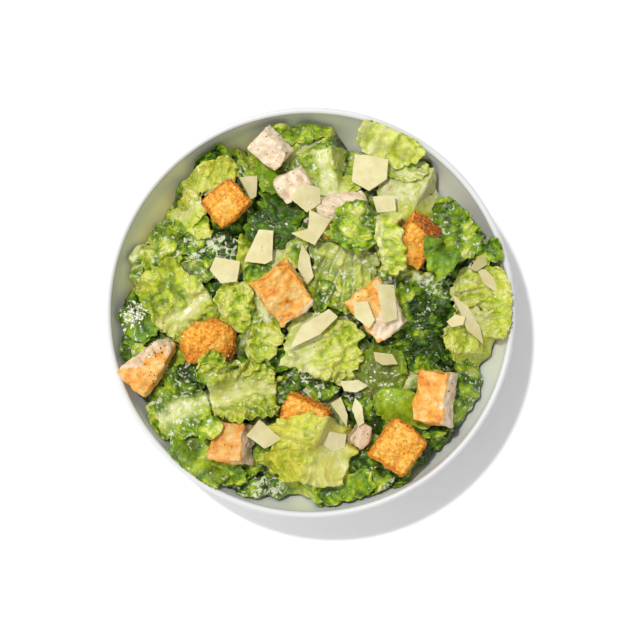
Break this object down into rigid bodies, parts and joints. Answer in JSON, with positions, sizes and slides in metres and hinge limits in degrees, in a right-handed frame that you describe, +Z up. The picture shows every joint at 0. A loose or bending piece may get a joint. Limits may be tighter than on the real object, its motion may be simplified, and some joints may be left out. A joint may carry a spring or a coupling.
{
  "type": "chicken caesar salad in a bowl",
  "caption": "Heaped caesar salad of chopped romaine with chicken chunks, croutons and cheese shavings, in a round white bowl with a foot ring.",
  "frame": {"origin": "middle of the bowl's foot, on the table", "axes": "+Z up, +Y towards the far side of the bowl as it is seen from above with the tall chicken chunk at the right, +X to the right"},
  "size_m": [0.21, 0.21, 0.0892],
  "materials": {
    "white_glaze": "smooth white glaze with a soft gloss",
    "romaine": "crisp ribbed leaf, moist with dressing, from pale rib to dark green",
    "roast_chicken": "pale fibrous meat with golden seared sides and pepper",
    "toasted_bread": "coarse golden-orange toasted crumb with herbs",
    "hard_cheese": "satin pale yellow flakes with a faint grain"
  },
  "bodies": {
    "root": {"bowl": "white_glaze", "chicken_folded_top": "roast_chicken", "chicken_grooved_bottom": "roast_chicken", "chicken_pale_inner": "roast_chicken", "chicken_pale_top": "roast_chicken", "chicken_peppered_left": "roast_chicken", "chicken_scrap_high": "roast_chicken", "chicken_scrap_low": "roast_chicken", "chicken_seared_middle": "roast_chicken", "chicken_seared_right": "roast_chicken", "chicken_tall_right": "roast_chicken", "crouton_big_lower_right": "toasted_bread", "crouton_low_middle": "toasted_bread", "crouton_round": "toasted_bread", "crouton_upper_left": "toasted_bread", "crouton_upper_right": "toasted_bread", "romaine_heap": "romaine", "shaving_blade": "hard_cheese", "shaving_chip_right": "hard_cheese", "shaving_curl_low": "hard_cheese", "shaving_dusky": "hard_cheese", "shaving_dusky_right": "hard_cheese", "shaving_edge_right": "hard_cheese", "shaving_fan_low": "hard_cheese", "shaving_long_middle": "hard_cheese", "shaving_notched": "hard_cheese", "shaving_on_chicken": "hard_cheese", "shaving_on_chicken_low": "hard_cheese", "shaving_point_low": "hard_cheese", "shaving_ragged": "hard_cheese", "shaving_rhomb": "hard_cheese", "shaving_shield": "hard_cheese", "shaving_slim_low": "hard_cheese", "shaving_spear": "hard_cheese", "shaving_square_left": "hard_cheese", "shaving_square_low": "hard_cheese", "shaving_stub": "hard_cheese", "shaving_tucked": "hard_cheese"}
  },
  "joints": []
}
